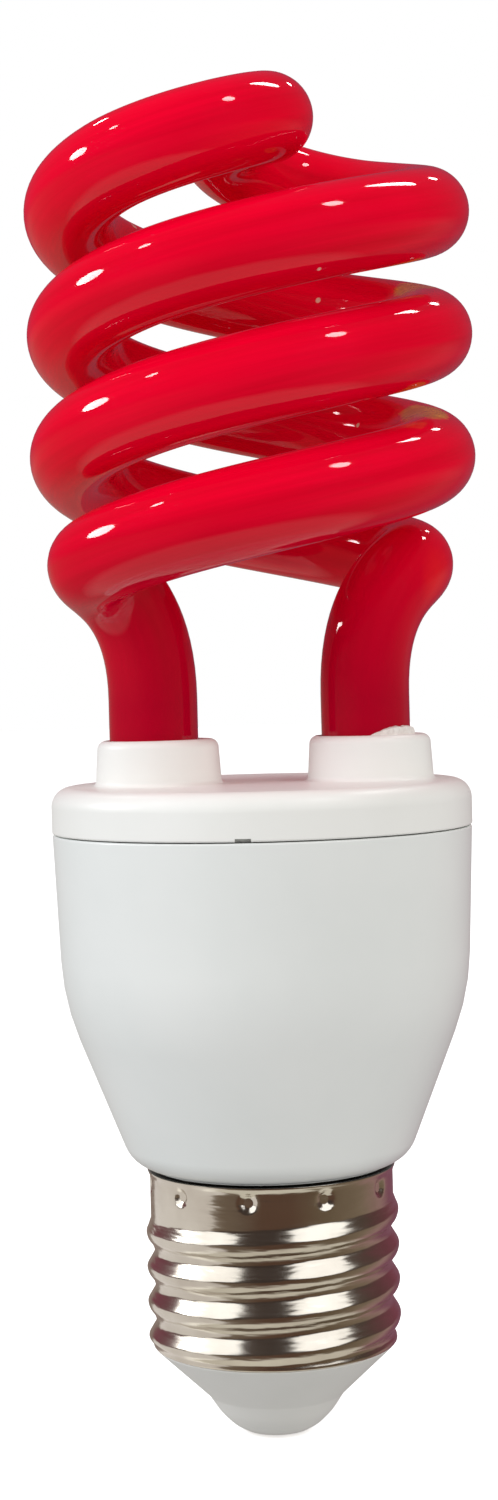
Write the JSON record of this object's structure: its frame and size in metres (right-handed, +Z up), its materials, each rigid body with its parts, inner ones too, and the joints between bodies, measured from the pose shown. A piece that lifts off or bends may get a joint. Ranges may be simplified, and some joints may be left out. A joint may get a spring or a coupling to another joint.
{
  "type": "spiral compact fluorescent bulb",
  "caption": "Red double-spiral fluorescent tube in a white round holder and ballast housing, on a threaded nickel-plated screw base with a pale insulator and a centre contact.",
  "frame": {"origin": "on the axis of the screw base, at the lowest point of the centre contact", "axes": "+Z up the axis from the centre contact to the top of the spiral; the two legs of the tube stand on the X axis; -Y is the side that the picture shows"},
  "size_m": [0.0464, 0.0466, 0.1408],
  "materials": {
    "red_lacquered_glass": "opaque glossy red lacquer on blown glass",
    "holder_plastic": "moulded warm white, satin gloss",
    "housing_plastic": "moulded cool white, satin gloss",
    "nickel_plate": "rolled sheet, nickel plated, bright",
    "contact_metal": "pressed and plated",
    "solder": "tin solder",
    "insulator_plastic": "pale moulded plastic",
    "cement": "hardened basing cement",
    "board_laminate": "paper laminate",
    "ferrite": "sintered ferrite",
    "bobbin_plastic": "moulded",
    "enamelled_copper": "enamelled winding wire",
    "tinned_wire": "tinned wire",
    "capacitor_sleeve": "shrunk sleeve on a can",
    "black_epoxy": "moulded epoxy",
    "shrink_sleeve": "shrunk sleeve",
    "dipped_film": "dipped lacquer",
    "trigger_glass": "small sealed bead",
    "resistor_body": "lacquered ceramic rod",
    "wire_insulation": "insulated wire"
  },
  "bodies": {
    "root": {"spiral_tube": "red_lacquered_glass", "tube_holder": "holder_plastic", "ballast_housing": "housing_plastic", "screw_shell": "nickel_plate", "centre_contact": "contact_metal", "contact_solder": "solder", "base_insulator": "insulator_plastic", "tube_cement_left": "cement", "tube_cement_right": "cement", "circuit_board": "board_laminate", "choke_core_upper": "ferrite", "choke_core_lower": "ferrite", "drive_ring": "ferrite", "choke_bobbin": "bobbin_plastic", "choke_winding": "enamelled_copper", "drive_windings": "enamelled_copper", "choke_pins": "tinned_wire", "capacitor_leads": "tinned_wire", "wire_posts": "tinned_wire", "tube_leads_left": "tinned_wire", "tube_leads_right": "tinned_wire", "smoothing_capacitor": "capacitor_sleeve", "switching_transistor_a": "black_epoxy", "switching_transistor_b": "black_epoxy", "rectifier_diodes": "black_epoxy", "filter_inductor": "shrink_sleeve", "resonant_capacitor": "dipped_film", "blocking_capacitor": "dipped_film", "starting_thermistor": "dipped_film", "fuse_resistor": "shrink_sleeve", "trigger_diode": "trigger_glass", "base_resistors": "resistor_body", "live_wire": "wire_insulation", "neutral_wire": "wire_insulation"}
  },
  "joints": []
}
